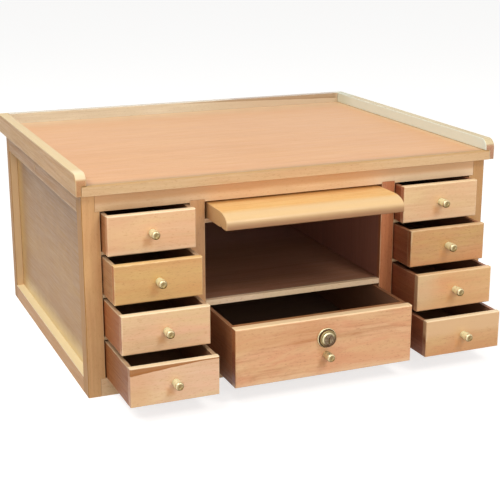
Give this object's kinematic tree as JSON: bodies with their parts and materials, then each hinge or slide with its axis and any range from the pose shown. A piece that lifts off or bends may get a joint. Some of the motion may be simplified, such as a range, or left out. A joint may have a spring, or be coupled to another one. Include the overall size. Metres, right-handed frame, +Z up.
{
  "type": "jewelers bench",
  "caption": "Bench-top wooden jeweller's bench: raised-lip work top, side banks of small drawers, a lockable wide drawer, an open cavity and a pull-out armrest.",
  "frame": {"origin": "on the floor, under the middle of the bench's box as it stands with its drawers open", "axes": "+Z up, +Y from the drawer fronts to the back, +X to the right seen from the front"},
  "size_m": [0.56, 0.5492, 0.279],
  "materials": {
    "case_wood": "clear satin lacquer on steamed beech",
    "panel_wood": "plain beech plywood",
    "lip_wood": "clear satin lacquer on pale beech",
    "top_wood": "smooth peach-toned beech veneer, satin",
    "armrest_wood": "golden lacquered beech",
    "front_wood": "clear satin lacquer on pink-toned beech",
    "tray_wood": "reddish-brown stained beech",
    "brass": "polished turned brass"
  },
  "bodies": {
    "case": {"left_front_post": "case_wood", "left_rear_post": "case_wood", "left_side_top_rail": "case_wood", "left_side_bottom_rail": "case_wood", "left_side_panel": "case_wood", "left_partition": "case_wood", "left_armrest_runner": "case_wood", "left_lip": "lip_wood", "left_divider_1": "panel_wood", "left_divider_2": "panel_wood", "left_divider_3": "panel_wood", "right_front_post": "case_wood", "right_rear_post": "case_wood", "right_side_top_rail": "case_wood", "right_side_bottom_rail": "case_wood", "right_side_panel": "case_wood", "right_partition": "case_wood", "right_armrest_runner": "case_wood", "right_lip": "lip_wood", "right_divider_1": "panel_wood", "right_divider_2": "panel_wood", "right_divider_3": "panel_wood", "front_top_rail": "case_wood", "front_bottom_rail": "case_wood", "bottom_panel": "panel_wood", "back_panel": "panel_wood", "cavity_shelf": "case_wood", "work_top": "top_wood", "front_edging": "lip_wood", "rear_lip": "lip_wood"},
    "armrest": {"armrest_board": "armrest_wood"},
    "left_drawer_1": {"left_drawer_1_front": "front_wood", "left_drawer_1_tray": "tray_wood", "left_drawer_1_knob": "brass"},
    "left_drawer_2": {"left_drawer_2_front": "front_wood", "left_drawer_2_tray": "tray_wood", "left_drawer_2_knob": "brass"},
    "left_drawer_3": {"left_drawer_3_front": "front_wood", "left_drawer_3_tray": "tray_wood", "left_drawer_3_knob": "brass"},
    "left_drawer_4": {"left_drawer_4_front": "front_wood", "left_drawer_4_tray": "tray_wood", "left_drawer_4_knob": "brass"},
    "right_drawer_1": {"right_drawer_1_front": "front_wood", "right_drawer_1_tray": "tray_wood", "right_drawer_1_knob": "brass"},
    "right_drawer_2": {"right_drawer_2_front": "front_wood", "right_drawer_2_tray": "tray_wood", "right_drawer_2_knob": "brass"},
    "right_drawer_3": {"right_drawer_3_front": "front_wood", "right_drawer_3_tray": "tray_wood", "right_drawer_3_knob": "brass"},
    "right_drawer_4": {"right_drawer_4_front": "front_wood", "right_drawer_4_tray": "tray_wood", "right_drawer_4_knob": "brass"},
    "lock_drawer": {"lock_drawer_front": "front_wood", "lock_drawer_tray": "tray_wood", "lock_drawer_knob": "brass", "lock_body": "brass"},
    "lock_plug": {"lock_plug": "brass"}
  },
  "joints": [
    {"name": "left_drawer_1_slide", "type": "slide", "parent": "case", "child": "left_drawer_1", "axis": [0, -1, 0], "range_m": [-0.0246, 0.2754]},
    {"name": "left_drawer_2_slide", "type": "slide", "parent": "case", "child": "left_drawer_2", "axis": [0, -1, 0], "range_m": [-0.0466, 0.2534]},
    {"name": "left_drawer_3_slide", "type": "slide", "parent": "case", "child": "left_drawer_3", "axis": [0, -1, 0], "range_m": [-0.0708, 0.2292]},
    {"name": "left_drawer_4_slide", "type": "slide", "parent": "case", "child": "left_drawer_4", "axis": [0, -1, 0], "range_m": [-0.0992, 0.2008]},
    {"name": "right_drawer_1_slide", "type": "slide", "parent": "case", "child": "right_drawer_1", "axis": [0, -1, 0], "range_m": [-0.0223, 0.2777]},
    {"name": "right_drawer_2_slide", "type": "slide", "parent": "case", "child": "right_drawer_2", "axis": [0, -1, 0], "range_m": [-0.0438, 0.2562]},
    {"name": "right_drawer_3_slide", "type": "slide", "parent": "case", "child": "right_drawer_3", "axis": [0, -1, 0], "range_m": [-0.0648, 0.2352]},
    {"name": "right_drawer_4_slide", "type": "slide", "parent": "case", "child": "right_drawer_4", "axis": [0, -1, 0], "range_m": [-0.0897, 0.2103]},
    {"name": "lock_drawer_slide", "type": "slide", "parent": "case", "child": "lock_drawer", "axis": [0, -1, 0], "range_m": [-0.092, 0.208]},
    {"name": "armrest_slide", "type": "slide", "parent": "case", "child": "armrest", "axis": [0, -1, 0], "range_m": [-0.04, 0.176]},
    {"name": "lock_turn", "type": "hinge", "parent": "lock_drawer", "child": "lock_plug", "pos_m": [0, -0.2514, 0.0713], "axis": [0, -1, 0], "range_deg": [0, 90]}
  ]
}
